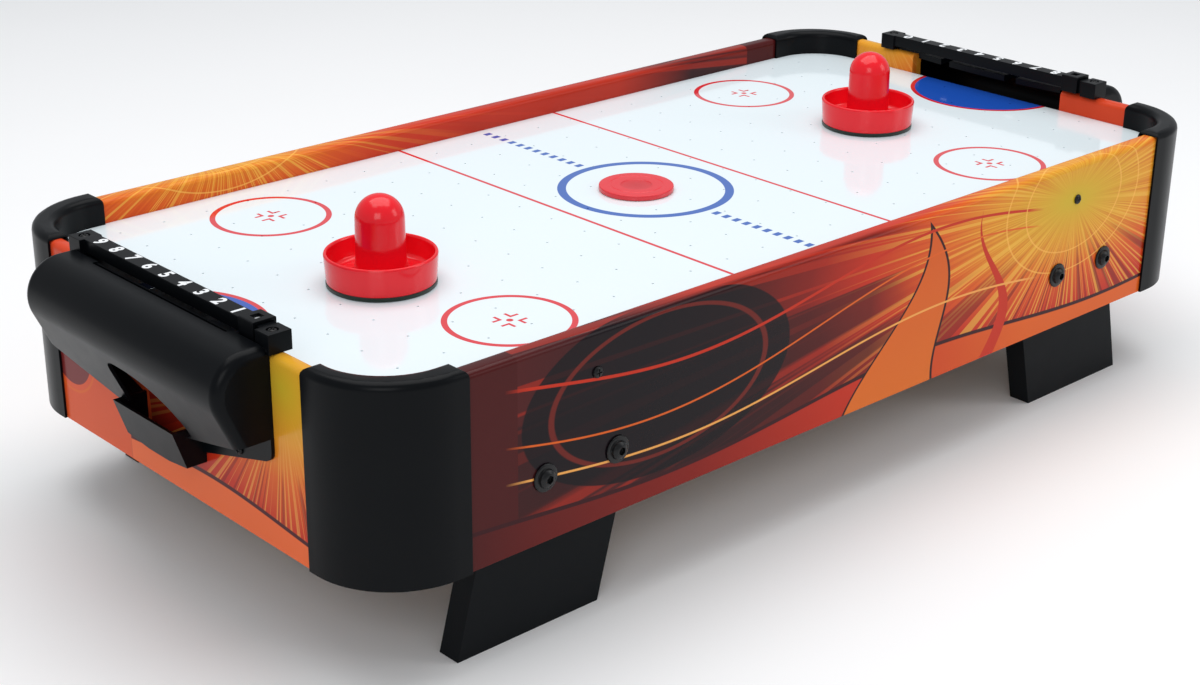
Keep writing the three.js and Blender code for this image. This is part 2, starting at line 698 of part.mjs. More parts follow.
// ---------- score bar ----------
function scoreBar() {
  const blocks = [-1, 1].map((side) => {
    const ys = [side * BAR_HALF, side * (BAR_HALF - BAR_BLOCK_LENGTH)].sort((a, b) => a - b);
    return block([-BAR_OUTER, ys[0], RAIL_TOP + GAP], [-BAR_INNER, ys[1], BAR_TOP]);
  });
  const beamHalf = BAR_HALF - BAR_BLOCK_LENGTH + 1;
  const beam = block([-BEAM_OUTER, -beamHalf, BEAM_BOTTOM], [-BEAM_INNER, beamHalf, BAR_TOP]);
  const holes = [-1, 1].map((side) =>
    rod('z', screwHole, RAIL_TOP - 1, BAR_TOP + 1, barScrewPlace(side), 12),
  );
  const sinks = [-1, 1].map((side) =>
    rod('z', BAR_SCREW_HEAD + 0.5, BAR_TOP - BAR_SINK, BAR_TOP + 1, barScrewPlace(side)),
  );
  return cut(union([...blocks, beam]), [...holes, ...sinks]);
}

// A clip that straddles the bar, with a window over the digit below it.
function scoreSlider() {
  const clearance = 0.4;
  const half = SLIDER_LENGTH / 2;
  const outer = [-BEAM_OUTER - clearance - SLIDER_WALL, -BEAM_INNER + clearance + SLIDER_WALL];
  const section = [
    [outer[0], BEAM_BOTTOM - clearance - 1.6],
    [outer[0], BAR_TOP + SLIDER_WALL],
    [outer[0] + 1.2, BAR_TOP + clearance + SLIDER_WALL],
    [outer[1] - 1.2, BAR_TOP + clearance + SLIDER_WALL],
    [outer[1], BAR_TOP + SLIDER_WALL],
    [outer[1], BEAM_BOTTOM - clearance - 1.6],
  ];
  const clip = prism('xz', section, -half, half);
  const channel = block(
    [-BEAM_OUTER - clearance, -half - 1, BEAM_BOTTOM - clearance],
    [-BEAM_INNER + clearance, half + 1, BAR_TOP + clearance],
  );
  const hook = 1.4; // how far each foot reaches under the beam
  const slot = block(
    [-BEAM_OUTER + hook, -half - 1, BEAM_BOTTOM - 4],
    [-BEAM_INNER - hook, half + 1, BEAM_BOTTOM + 1],
  );
  const middle = -(BEAM_OUTER + BEAM_INNER) / 2;
  const windowHalf = 3.2;
  const view = block(
    [middle - windowHalf, -windowHalf, BAR_TOP - 1],
    [middle + windowHalf, windowHalf, BAR_TOP + 5],
  );
  return cut(clip, [channel, slot, view]);
}

function buildEnd(end, turn, sliderY) {
  const group = new THREE.Group();
  group.rotation.z = turn;
  table.add(group);
  addPart(group, `end_rail_${end}`, endRail(), LAMINATE);
  addPart(group, `goal_hood_${end}`, goalHood(), BLACK_PLASTIC);
  addPart(group, `score_bar_${end}`, scoreBar(), BLACK_PLASTIC);
  const slider = addPart(group, `score_slider_${end}`, scoreSlider(), BLACK_PLASTIC);
  slider.position.y = sliderY;
  const battenOuter = END_INNER - GAP;
  const batten = block(
    [-battenOuter, -END_BATTEN_HALF, battenLow],
    [-battenOuter + BATTEN_WIDTH, END_BATTEN_HALF, battenHigh],
  );
  addPart(group, `end_batten_${end}`, batten, RAW_BOARD);
  const barScrewLength = BAR_TOP - BAR_SINK - RAIL_TOP + BAR_SCREW_DEPTH - 3;
  [-1, 1].forEach((side, i) => {
    const name = `bar_screw_${end}_${i + 1}`;
    const barScrew = addPart(group, name, screw(barScrewLength, BAR_SCREW_HEAD), BLACK_STEEL);
    barScrew.position.set(-BAR_SCREW_X, side * BAR_SCREW_Y, BAR_TOP - BAR_SINK + GAP);
    barScrew.rotation.x = Math.PI / 2;
    const hoodScrew = addPart(group, `hood_screw_${end}_${i + 1}`, screw(12, 2.8), BLACK_STEEL);
    hoodScrew.position.set(-HALF_LENGTH - HOOD_WALL - 2 * GAP, side * HOOD_SCREW_Y, HOOD_SCREW_Z);
    hoodScrew.rotation.z = Math.PI / 2;
  });
}

buildEnd('left', 0, -DIGIT_SPAN / 2);
buildEnd('right', Math.PI, DIGIT_SPAN / 2);

// ---------- strikers and puck ----------
const feltTop = FELT + GAP;
const shellBottom = feltTop + GAP;
const knobWall = 2.6;

function strikerShell() {
  const dome = arc([0, STRIKER_HEIGHT - KNOB_RADIUS], KNOB_RADIUS, Math.PI / 2, 0, 8);
  const cavityRadius = KNOB_RADIUS - knobWall;
  const cavity = arc([0, STRIKER_HEIGHT - KNOB_RADIUS], cavityRadius, 0, Math.PI / 2, 6);
  const profile = [
    [0, STRIKER_HEIGHT],
    ...dome.slice(1),
    [KNOB_RADIUS + 0.3, 20],
    [KNOB_RADIUS + 1.2, 12],
    [KNOB_RADIUS + 3.6, 8],
    [STRIKER_RADIUS - 6.5, 6.6],
    [STRIKER_RADIUS - 3.6, 9],
    [STRIKER_RADIUS - 2.6, STRIKER_RIM - 1.4],
    [STRIKER_RADIUS - 2, STRIKER_RIM],
    [STRIKER_RADIUS - 0.6, STRIKER_RIM],
    [STRIKER_RADIUS, STRIKER_RIM - 1.2],
    [STRIKER_RADIUS - 1.3, shellBottom],
    [cavityRadius, shellBottom],
    ...cavity.slice(0, -1),
    [0, STRIKER_HEIGHT - knobWall],
  ];
  return turned('z', profile.reverse(), 26);
}

function strikerFelt() {
  const outer = STRIKER_RADIUS - 1;
  const inner = KNOB_RADIUS - knobWall;
  return turned('z', [[inner, GAP], [outer, GAP], [outer, feltTop], [inner, feltTop], [inner, GAP]], 26);
}

for (const [name, [x, y]] of [['left', NEAR_STRIKER], ['right', FAR_STRIKER]]) {
  const striker = new THREE.Group();
  striker.position.set(x, y, SURFACE_TOP);
  table.add(striker);
  addPart(striker, `striker_${name}`, strikerShell(), RED_PLASTIC);
  addPart(striker, `striker_felt_${name}`, strikerFelt(), FELT_BLACK);
}

const puckEdge = 0.7;
const puck = addPart(
  table,
  'puck',
  turned(
    'z',
    [
      [0, GAP],
      [PUCK_RADIUS - puckEdge, GAP],
      [PUCK_RADIUS, GAP + puckEdge],
      [PUCK_RADIUS, GAP + PUCK_HEIGHT - puckEdge],
      [PUCK_RADIUS - puckEdge, GAP + PUCK_HEIGHT],
      [PUCK_RADIUS * 0.42, GAP + PUCK_HEIGHT],
      [PUCK_RADIUS * 0.4, GAP + PUCK_HEIGHT - 0.5],
      [0, GAP + PUCK_HEIGHT - 0.5],
    ],
    28,
  ),
  PUCK_PLASTIC,
);
puck.position.set(...PUCK_PLACE, SURFACE_TOP);

// ---------- fan under the base panel ----------
const fanTop = BASE_TOP - BASE_BOARD - GAP;
const fanLow = fanTop - FAN_HEIGHT;
const FAN_SCREW_OFFSET = 41.2;
const fanCorners = [[1, 1], [-1, -1], [1, -1], [-1, 1]].map(([sx, sy]) => [
  sx * FAN_SCREW_OFFSET,
  sy * FAN_SCREW_OFFSET,
  0,
]);
const HUB_HEIGHT = 5; // motor carrier at the fan's lower side

function fanFrame() {
  const half = FAN_SIDE / 2;
  const square = block([-half, -half, fanLow], [half, half, fanTop]);
  const bore = rod('z', FAN_BORE, fanLow - 1, fanTop + 1, [0, 0, 0], 32);
  const holes = fanCorners.map((place) => rod('z', SCREW_RADIUS + GAP, fanLow - 1, fanTop + 1, place, 10));
  const hub = rod('z', FAN_HUB - 1, fanLow, fanLow + HUB_HEIGHT, [0, 0, 0], 24);
  const struts = [0, 1].map((i) => {
    const strut = block([-FAN_BORE - 1.5, -2.5, fanLow], [FAN_BORE + 1.5, 2.5, fanLow + 2.6]);
    return strut.rotate([0, 0, 45 + 90 * i]);
  });
  const bearing = rod('z', 3.4, fanLow - 1, fanLow + HUB_HEIGHT + 1, [0, 0, 0], 16);
  return cut(union([cut(square, [bore, ...holes]), hub, ...struts]), [bearing]);
}

function fanImpeller() {
  const low = fanLow + HUB_HEIGHT + 1;
  const high = fanTop - 2;
  const hub = rod('z', FAN_HUB, low, high, [0, 0, 0], 24);
  const shaft = rod('z', 3.3, fanLow + 0.5, low + 1, [0, 0, 0], 16);
  const blade = block([FAN_HUB - 2, -1, -9.5], [FAN_BORE - 2, 1, 9.5]).rotate([48, 0, 0]);
  const trim = turned('z', [[0, low], [FAN_BORE - 1.6, low], [FAN_BORE - 1.6, high], [0, high]], 32);
  const blades = Array.from({ length: FAN_BLADES }, (_, i) =>
    blade.rotate([0, 0, (360 / FAN_BLADES) * i]).translate([0, 0, (low + high) / 2]),
  );
  return union([hub, shaft, ...blades.map((piece) => piece.intersect(trim))]);
}

function fanGuard() {
  const high = fanLow - GAP;
  const wire = 1.6;
  const low = high - wire;
  const rings = [16, 29, 42].map((inner) => {
    const outer = inner + wire;
    return turned('z', [[inner, low], [outer, low], [outer, high], [inner, high], [inner, low]], 20);
  });
  const spokes = [0, 1].map((i) =>
    block([-60, -wire, high - wire], [60, wire, high]).rotate([0, 0, 45 + 90 * i]),
  );
  const eyes = fanCorners.map((place) => rod('z', SCREW_RADIUS + GAP, high - 3, high + 1, place, 10));
  const tabs = fanCorners.map((place) => rod('z', 4, high - wire, high, place, 12));
  return cut(union([...rings, ...spokes, ...tabs]), eyes);
}

addPart(table, 'fan_frame', fanFrame(), MATT_BLACK);
addPart(table, 'fan_impeller', fanImpeller(), MATT_BLACK);
addPart(table, 'fan_guard', fanGuard(), STEEL);
fanCorners.slice(0, 2).forEach(([x, y], i) => {
  const mesh = addPart(table, `fan_screw_${i + 1}`, screw(FAN_HEIGHT + 1.6, 3), STEEL);
  mesh.position.set(x, y, fanLow - 2 * GAP - 1.6);
  mesh.rotation.x = -Math.PI / 2;
});

// ---------- control plate, switch and power inlet on the far side board ----------
const PLATE = 1.5;
const plateFront = HALF_WIDTH + GAP + PLATE;
const switchX = CONTROL_X + SWITCH_OFFSET;
const jackX = CONTROL_X + JACK_OFFSET;
const SWITCH_BODY = [19, 13, 14]; // along x, along z, depth
const BEZEL_EDGE = 1.6;
const BEZEL = 1.8;
const JACK_RADIUS = 5;

const plate = cut(
  block([CONTROL_X - 31, HALF_WIDTH + GAP, CONTROL_Z - 14], [CONTROL_X + 31, plateFront, CONTROL_Z + 14]),
  [
    block(
      [switchX - SWITCH_BODY[0] / 2 - GAP, HALF_WIDTH - 1, CONTROL_Z - SWITCH_BODY[1] / 2 - GAP],
      [switchX + SWITCH_BODY[0] / 2 + GAP, HALF_WIDTH + 5, CONTROL_Z + SWITCH_BODY[1] / 2 + GAP],
    ),
    rod('y', JACK_RADIUS + GAP, HALF_WIDTH - 1, HALF_WIDTH + 5, [jackX, 0, CONTROL_Z], 20),
  ],
);
addPart(table, 'control_plate', plate, MATT_BLACK);

const bezelBack = plateFront + GAP;
const switchWall = 1.3;
const cavityDepth = 8;
const switchBox = (grow, from, to) =>
  block(
    [switchX - SWITCH_BODY[0] / 2 - grow, from, CONTROL_Z - SWITCH_BODY[1] / 2 - grow],
    [switchX + SWITCH_BODY[0] / 2 + grow, to, CONTROL_Z + SWITCH_BODY[1] / 2 + grow],
  );
const switchHousing = cut(
  switchBox(0, bezelBack - SWITCH_BODY[2], bezelBack + 0.5).add(
    switchBox(BEZEL_EDGE, bezelBack, bezelBack + BEZEL),
  ),
  [switchBox(-switchWall, bezelBack - cavityDepth, bezelBack + BEZEL + 1)],
);
addPart(table, 'switch_housing', switchHousing, MATT_BLACK);

// The rocker turns about a vertical axis and rests tilted to its off side.
const ROCKER_TILT = 7;
const rockerHalf = SWITCH_BODY[0] / 2 - switchWall - 0.7;
const rockerOutline = [
  [-rockerHalf, 0.4],
  [-rockerHalf + 2, -2.6],
  [rockerHalf - 2, -2.6],
  [rockerHalf, 0.4],
  [rockerHalf - 0.3, 2.4],
  [0, 1.3],
  [-rockerHalf + 0.3, 2.4],
];
const rockerHigh = SWITCH_BODY[1] / 2 - switchWall - GAP;
const rockerSolid = prism('xy', rockerOutline, -rockerHigh, rockerHigh);
const rocker = addPart(table, 'switch_rocker', rockerSolid, BLACK_PLASTIC);
rocker.position.set(switchX, bezelBack - 0.4, CONTROL_Z);
rocker.rotation.z = THREE.MathUtils.degToRad(ROCKER_TILT);

const jackProfile = [
  [0, -13],
  [JACK_RADIUS, -13],
  [JACK_RADIUS, 0],
  [JACK_RADIUS + 2, 0],
  [JACK_RADIUS + 2, 1.4],
  [3.2, 1.4],
  [3.2, -9],
  [0.9, -9],
  [0.9, -1.6],
  [0, -1],
];
addPart(table, 'power_inlet', turned('y', jackProfile, 20, [jackX, bezelBack, CONTROL_Z]), MATT_BLACK);

// Lead from the controls to the fan, stapled along the underside of the base panel.
const LEAD_RADIUS = 1.6;
const LEAD_DROP = 1; // room for the staples' crowns
const leadHeight = BASE_TOP - BASE_BOARD - LEAD_DROP - LEAD_RADIUS;
const leadRoute = new THREE.CatmullRomCurve3(
  [
    [jackX, bezelBack - 14.5, CONTROL_Z],
    [jackX, 190, CONTROL_Z + 3],
    [jackX, 176, CONTROL_Z + 20],
    [jackX - 2, 158, leadHeight - 4],
    [jackX - 8, 130, leadHeight],
    [62, 84, leadHeight],
    [58, 44, leadHeight],
    [54, 30, leadHeight - 2],
    [FAN_SIDE / 2 + 2.4, 26, leadHeight - 9],
  ].map((point) => new THREE.Vector3(...point)),
);
const leadSection = new THREE.Shape();
leadSection.absarc(0, 0, LEAD_RADIUS, 0, 2 * Math.PI);
const lead = new THREE.ExtrudeGeometry(leadSection, {
  steps: 28,
  extrudePath: leadRoute,
  bevelEnabled: false,
  curveSegments: 4,
});
addPart(table, 'fan_lead', toSolid(lead), MATT_BLACK);

export default table;
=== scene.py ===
"""Looks for the tabletop air hockey: materials, printed artwork, fine turned pieces, floor, light
and camera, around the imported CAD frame. Metres, +Z up; lengths written as NUMBER * MM."""

import math

import bpy
import bmesh
from mathutils import Matrix, Vector
from mathutils.geometry import delaunay_2d_cdt


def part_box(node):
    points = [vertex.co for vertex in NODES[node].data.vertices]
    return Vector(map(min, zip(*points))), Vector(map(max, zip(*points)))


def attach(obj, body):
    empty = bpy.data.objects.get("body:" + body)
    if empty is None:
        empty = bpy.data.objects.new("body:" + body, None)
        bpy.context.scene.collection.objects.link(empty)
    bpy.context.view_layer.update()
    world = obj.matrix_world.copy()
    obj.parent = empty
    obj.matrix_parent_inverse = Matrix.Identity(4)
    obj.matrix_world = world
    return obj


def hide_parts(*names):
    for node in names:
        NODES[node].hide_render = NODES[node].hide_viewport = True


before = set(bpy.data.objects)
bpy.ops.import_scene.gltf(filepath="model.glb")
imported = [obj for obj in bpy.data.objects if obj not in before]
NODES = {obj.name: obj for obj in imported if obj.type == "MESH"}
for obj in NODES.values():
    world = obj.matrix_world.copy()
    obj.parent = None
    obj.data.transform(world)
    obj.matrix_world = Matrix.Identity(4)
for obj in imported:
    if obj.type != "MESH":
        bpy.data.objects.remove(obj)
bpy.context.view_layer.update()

MM = 0.001

# ---------- dimensions read from the frame ----------
side_low, side_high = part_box("side_rail_near")
END_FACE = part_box("end_rail_right")[1].x  # outer face of the end boards
END_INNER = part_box("end_rail_right")[0].x
SIDE_FACE = -side_low.y
SIDE_INNER = -side_high.y
RAIL_TOP = side_high.z
field_low, field_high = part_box("playing_surface")
FIELD_TOP = field_high.z
FIELD_BOTTOM = field_low.z
BAR_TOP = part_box("score_bar_left")[1].z
DIGIT_PITCH = 20.4 * MM

# ---------- camera ----------
CAMERA_PLACE = Vector((-1.0408, -1.0643, 0.6801))
CAMERA_TARGET = Vector((-0.0986, -0.0512, 0.1000))
CAMERA_ROLL = 0.0099
LENS = 61.16
SENSOR = 36


def make_camera():
    data = bpy.data.cameras.new("camera")
    data.lens = LENS
    data.sensor_fit = "HORIZONTAL"
    data.sensor_width = SENSOR
    camera = bpy.data.objects.new("camera", data)
    ahead = (CAMERA_TARGET - CAMERA_PLACE).normalized()
    right = ahead.cross(Vector((0, 0, 1))).normalized()
    up = right.cross(ahead)
    c, s = math.cos(CAMERA_ROLL), math.sin(CAMERA_ROLL)
    x_axis, y_axis = right * c + up * s, up * c - right * s
    camera.matrix_world = Matrix(
        (
            (x_axis.x, y_axis.x, -ahead.x, CAMERA_PLACE.x),
            (x_axis.y, y_axis.y, -ahead.y, CAMERA_PLACE.y),
            (x_axis.z, y_axis.z, -ahead.z, CAMERA_PLACE.z),
            (0, 0, 0, 1),
        )
    )
    bpy.context.scene.collection.objects.link(camera)
    bpy.context.scene.camera = camera


make_camera()


# ---------- materials written as arithmetic ----------
def srgb(r, g, b):
    """A colour given as 0-255 display values, as the linear colour that shaders use."""

    def linear(value):
        value /= 255
        return value / 12.92 if value <= 0.04045 else ((value + 0.055) / 1.055) ** 2.4

    return (linear(r), linear(g), linear(b), 1.0)


class Field:
    """A number that varies over a surface, carried by a node's output."""

    def __init__(self, tree, socket):
        self.tree = tree
        self.socket = socket

    def op(self, kind, *others, clamp=False):
        node = self.tree.nodes.new("ShaderNodeMath")
        node.operation = kind
        node.use_clamp = clamp
        for i, value in enumerate((self, *others)):
            if isinstance(value, Field):
                self.tree.links.new(value.socket, node.inputs[i])
            else:
                node.inputs[i].default_value = value
        return Field(self.tree, node.outputs[0])

    def __add__(self, other):
        return self.op("ADD", other)

    def __sub__(self, other):
        return self.op("SUBTRACT", other)

    def __mul__(self, other):
        return self.op("MULTIPLY", other)

    def __truediv__(self, other):
        return self.op("DIVIDE", other)

    def __abs__(self):
        return self.op("ABSOLUTE")

    def least(self, other):
        return self.op("MINIMUM", other)

    def most(self, other):
        return self.op("MAXIMUM", other)

    def below(self, limit, soft=0.35):
        """1 under the limit and 0 over it, with a soft edge of that width."""
        return (self - limit).op("MULTIPLY_ADD", -1 / soft, 0.5, clamp=True)

    def above(self, limit, soft=0.35):
        return (self - limit).op("MULTIPLY_ADD", 1 / soft, 0.5, clamp=True)

    def between(self, low, high, soft=0.35):
        return self.above(low, soft) * self.below(high, soft)

    def spread(self, low, high):
        """0 at low and 1 at high."""
        return (self - low).op("MULTIPLY", 1 / (high - low), clamp=True)


def length_of(a, b):
    return (a * a + b * b).op("SQRT")


class Look:
    """One material: its node tree, its coordinates in millimetres and its layers of colour."""

    def __init__(self, name):
        self.material = bpy.data.materials.new(name)
        self.material.use_nodes = True
        self.tree = self.material.node_tree
        self.tree.nodes.clear()
        self.output = self.tree.nodes.new("ShaderNodeOutputMaterial")
        self.shader = self.tree.nodes.new("ShaderNodeBsdfPrincipled")
        self.tree.links.new(self.shader.outputs[0], self.output.inputs[0])
        self.coords = self.tree.nodes.new("ShaderNodeTexCoord").outputs["Object"]
        scaled = self.tree.nodes.new("ShaderNodeVectorMath")
        scaled.operation = "SCALE"
        scaled.inputs["Scale"].default_value = 1 / MM
        self.tree.links.new(self.coords, scaled.inputs[0])
        split = self.tree.nodes.new("ShaderNodeSeparateXYZ")
        self.tree.links.new(scaled.outputs[0], split.inputs[0])
        self.x, self.y, self.z = (Field(self.tree, split.outputs[i]) for i in range(3))
        self.millimetres = scaled.outputs[0]
        self.colour = None

    def vector(self, x=0.0, y=0.0, z=0.0):
        node = self.tree.nodes.new("ShaderNodeCombineXYZ")
        for i, value in enumerate((x, y, z)):
            if isinstance(value, Field):
                self.tree.links.new(value.socket, node.inputs[i])
            else:
                node.inputs[i].default_value = value
        return node.outputs[0]

    def noise(self, scale, detail=2.0, rough=0.5, where=None):
        """Cloudy noise of about 0.5; scale is in cycles for each millimetre."""
        node = self.tree.nodes.new("ShaderNodeTexNoise")
        self.tree.links.new(where or self.millimetres, node.inputs["Vector"])
        node.inputs["Scale"].default_value = scale
        node.inputs["Detail"].default_value = detail
        node.inputs["Roughness"].default_value = rough
        return Field(self.tree, node.outputs[0])

    def ramp(self, share, stops):
        node = self.tree.nodes.new("ShaderNodeValToRGB")
        self.tree.links.new(share.socket, node.inputs[0])
        stops = list(stops)
        elements = node.color_ramp.elements
        elements[0].position, elements[0].color = stops[0]
        elements[1].position, elements[1].color = stops[-1]
        for position, colour in stops[1:-1]:
            elements.new(position).color = colour
        return node.outputs[0]

    def mixed(self, share, under, over, kind="MIX"):
        node = self.tree.nodes.new("ShaderNodeMix")
        node.data_type = "RGBA"
        node.blend_type = kind
        sockets = [s for s in node.inputs if s.enabled and s.type == "RGBA"]
        factor = next(s for s in node.inputs if s.enabled and s.type == "VALUE")
        if isinstance(share, Field):
            self.tree.links.new(share.socket, factor)
        else:
            factor.default_value = share
        for socket, value in zip(sockets, (under, over)):
            if isinstance(value, tuple):
                socket.default_value = value
            else:
                self.tree.links.new(value, socket)
        return next(s for s in node.outputs if s.enabled and s.type == "RGBA")

    def paint(self, share, colour, kind="MIX"):
        """Lays colour over what is there, where share is 1."""
        self.colour = self.mixed(share, self.colour, colour, kind)

    def finish(
        self, rough, rough_swing=0.0, grain=0.0, grain_scale=2.0, detail=2.0, **sockets
    ):
        """Sets the shader. rough_swing varies the roughness; grain is a bump's height in mm."""
        shader = self.shader
        if isinstance(self.colour, tuple):
            shader.inputs["Base Color"].default_value = self.colour
        else:
            self.tree.links.new(self.colour, shader.inputs["Base Color"])
        if rough_swing:
            cloud = self.noise(0.06, 3.0, 0.6)
            varied = (cloud - 0.5) * rough_swing + rough
            self.tree.links.new(varied.socket, shader.inputs["Roughness"])
        else:
            shader.inputs["Roughness"].default_value = rough
        if grain:
            bump = self.tree.nodes.new("ShaderNodeBump")
            bump.inputs["Strength"].default_value = 1.0
            bump.inputs["Distance"].default_value = grain * MM
            height = self.noise(grain_scale, detail)
            self.tree.links.new(height.socket, bump.inputs["Height"])
            self.tree.links.new(bump.outputs[0], shader.inputs["Normal"])
        for name, value in sockets.items():
            shader.inputs[name.replace("_", " ")].default_value = value
        return self.material


# ---------- printed artwork on the boards: plain rays, waves and rounds ----------
YELLOW = srgb(208, 178, 48)
AMBER = srgb(228, 152, 44)
ORANGE = srgb(222, 98, 34)
RED = srgb(198, 50, 28)
DEEP_RED = srgb(134, 32, 24)
MAROON = srgb(74, 22, 22)
NEAR_BLACK = srgb(18, 15, 20)
PALE_LINE = srgb(240, 168, 86)

BOARD_SIDE = (SIDE_FACE - SIDE_INNER) / MM
BOARD_END = (END_FACE - END_INNER) / MM
BAND_TIP = 192  # height at which the bands of the side print run out
PRINT_FINISH = {
    "rough_swing": 0.08,
    "grain": 0.02,
    "grain_scale": 0.5,
    "Specular_IOR_Level": 0.12,
    "Coat_Weight": 0.02,
    "Coat_Roughness": 0.08,
}


def wrapped_height(depth, z, board):
    """How far the wrapped print runs: up a board's outside, over its top and down its inside."""
    drop = z * -1 + RAIL_TOP / MM
    turn = depth.above(board / 2, 0.02) * 2 - 1
    return depth + drop * turn + RAIL_TOP / MM


def sunburst(look, u, w, centre, squash, stops, reach):
    """Colour that changes outwards from a centre. Returns distance, broad and fine rays."""
    du, dw = u - centre[0], w - centre[1]
    distance = length_of(du, dw * squash)
    look.colour = look.ramp(distance.spread(0, reach), stops)
    angle = dw.op("ARCTAN2", du)
    broad = look.noise(21.0, 0.0, where=look.vector(angle, 0.3, 0.0))
    fine = look.noise(56.0, 1.0, where=look.vector(angle, 7.1, 0.0))
    return distance, broad, fine


def wave(value, level, swing, length, start):
    """A sine line: the level that it has at each place along value."""
    return ((value - start) * (2 * math.pi / length)).op("SINE") * swing + level


def board_colour(look):
    """Pressed board without a covering."""
    return look.ramp(
        look.noise(0.9, 4.0, 0.7),
        ((0.25, srgb(128, 98, 66)), (0.5, srgb(158, 126, 90)), (0.8, srgb(184, 154, 114))),
    )


def leave_bare(look, depth, board):
    """The board's inside is uncovered below the playing surface."""
    inside = depth.above(board / 2, 0.02)
    low = look.z.below(FIELD_BOTTOM / MM, 0.3)
    look.paint(inside * low, board_colour(look))


def stroke(look, value, centre, half, colour, mask=None, soft=0.4):
    """A line where value is within half of centre."""
    share = (abs(value - centre) - half).below(0.0, soft)
    look.paint(share * mask if mask else share, colour)


def side_print():
    """The long boards: a sunburst at one end, a dark round at the other and waves across."""
    look = Look("printed_side")
    toward = look.y.op("SIGN") * -1
    u = look.x * toward
    depth = abs(look.y) * -1 + SIDE_FACE / MM
    w = wrapped_height(depth, look.z, BOARD_SIDE)
    stops = (
        (0.00, YELLOW),
        (0.16, AMBER),
        (0.26, ORANGE),
        (0.38, RED),
        (0.48, DEEP_RED),
        (0.60, MAROON),
        (0.72, srgb(52, 24, 28)),
        (1.00, srgb(92, 30, 28)),
    )
    distance, broad, fine = sunburst(look, u, w, (250, 175), 2.8, stops, 640)
    lit = distance.spread(18, 90) * u.spread(-40, 60)
    look.paint(fine.above(0.58, 0.03) * lit * 0.45, srgb(244, 198, 82))
    look.paint(fine.below(0.42, 0.03) * lit * 0.30, RED)
    look.paint(broad.below(0.40, 0.02) * lit * w.below(132, 30) * 0.75, DEEP_RED)
    streaks = u.below(40, 60) * distance.above(200, 40)
    look.paint(fine.above(0.57, 0.05) * streaks * 0.40, RED)
    look.paint(broad.below(0.45, 0.04) * streaks * 0.70, srgb(44, 20, 22))

    # Dark oval with one plain ring inside it.
    oval = length_of((u + 195) / 120, (w - 150) / 62)
    look.paint(oval.below(1.0, 0.01) * 0.92, NEAR_BLACK)
    look.paint(abs(oval - 0.80).below(0.02, 0.01) * 0.8, srgb(120, 38, 30))
    look.paint(u.below(-318, 0.5), MAROON)
    # Painted highlight: a red band along the top edge of the board and over its top.
    look.paint(w.above(206, 5.0) * u.between(-200, 120, 90) * 0.8, RED)

    # Foot band: one slow wave, red that turns to orange, over a narrow dark edge.
    foot = wave(u, 90, 7, 480, -60)
    warm = look.ramp(
        u.spread(-360, 200), ((0.0, MAROON), (0.35, DEEP_RED), (0.65, RED), (1.0, ORANGE))
    )
    look.paint((w - foot).below(3.0, 0.5), srgb(58, 20, 24))
    look.paint((w - foot).below(0.0, 0.5), warm)

    # Broad band that leans across the middle, narrowing upwards, and a slim one beside it.
    broad_line = wave(w, 58, 24, 210, 112)
    broad_half = (w * -1 + BAND_TIP) * 0.40
    shade = look.ramp(w.spread(60, 190), ((0.0, srgb(222, 112, 38)), (1.0, srgb(214, 92, 34))))
    look.paint((abs(u - broad_line) - broad_half).below(2.5, 0.5), srgb(46, 18, 20))
    look.paint((abs(u - broad_line) - broad_half).below(0.0, 0.5), shade)
    slim_line = wave(w, 150, 18, 150, 70)
    slim_half = (w * -1 + BAND_TIP) * 0.07
    look.paint((abs(u - slim_line) - slim_half).below(0.0, 0.5), RED)

    # Thin lines: three long waves, then two rings round the sun.
    for level, swing, length, half, colour in (
        (150, 22, 620, 0.7, ORANGE),
        (176, 14, 500, 1.1, RED),
        (118, 12, 540, 0.8, PALE_LINE),
    ):
        line = wave(u, level, swing, length, -40)
        stroke(look, w, line, half, colour, u.between(-318, 200, 20))
    for size in (62, 86):
        ring = abs(length_of(u - 250, (w - 175) * 1.5) - size)
        look.paint(ring.below(0.8, 0.5) * 0.6, srgb(250, 190, 90))
    leave_bare(look, depth, BOARD_SIDE)
    return look.finish(0.21, **PRINT_FINISH)


def end_print():
    """The end boards: a plain warm field, a sunburst at one side and a round at the other."""
    look = Look("printed_end")
    toward = look.x.op("SIGN") * -1
    u = look.y * toward * -1
    depth = abs(look.x) * -1 + END_FACE / MM
    w = wrapped_height(depth, look.z, BOARD_END)
    stops = (
        (0.00, YELLOW),
        (0.22, AMBER),
        (0.40, ORANGE),
        (0.60, RED),
        (1.00, DEEP_RED),
    )
    distance, broad, fine = sunburst(look, u, w, (125, 185), 1.3, stops, 210)
    lit = distance.spread(12, 70)
    look.paint(fine.above(0.58, 0.03) * lit * 0.45, srgb(240, 176, 84))
    look.paint(broad.below(0.40, 0.03) * lit * distance.above(80, 20) * 0.6, DEEP_RED)
    salmon = look.ramp(w.spread(70, 200), ((0.0, srgb(222, 88, 42)), (1.0, srgb(212, 70, 38))))
    look.paint((u - wave(w, -40, 10, 180, 70)).below(0.0, 0.5), salmon)
    disc = length_of(u + 135, w - 130)
    look.paint(disc.below(28, 0.5), srgb(120, 44, 44))
    look.paint(abs(disc - 33).below(0.9, 0.4), ORANGE)
    foot = wave(u, 88, 5, 320, -40)
    look.paint((w - foot).below(3.0, 0.5) * u.above(-60, 1.0), srgb(76, 30, 34))
    look.paint((w - foot).below(0.0, 0.5) * u.above(-60, 1.0), srgb(234, 106, 54))
    leave_bare(look, depth, BOARD_END)
    return look.finish(0.21, **PRINT_FINISH)


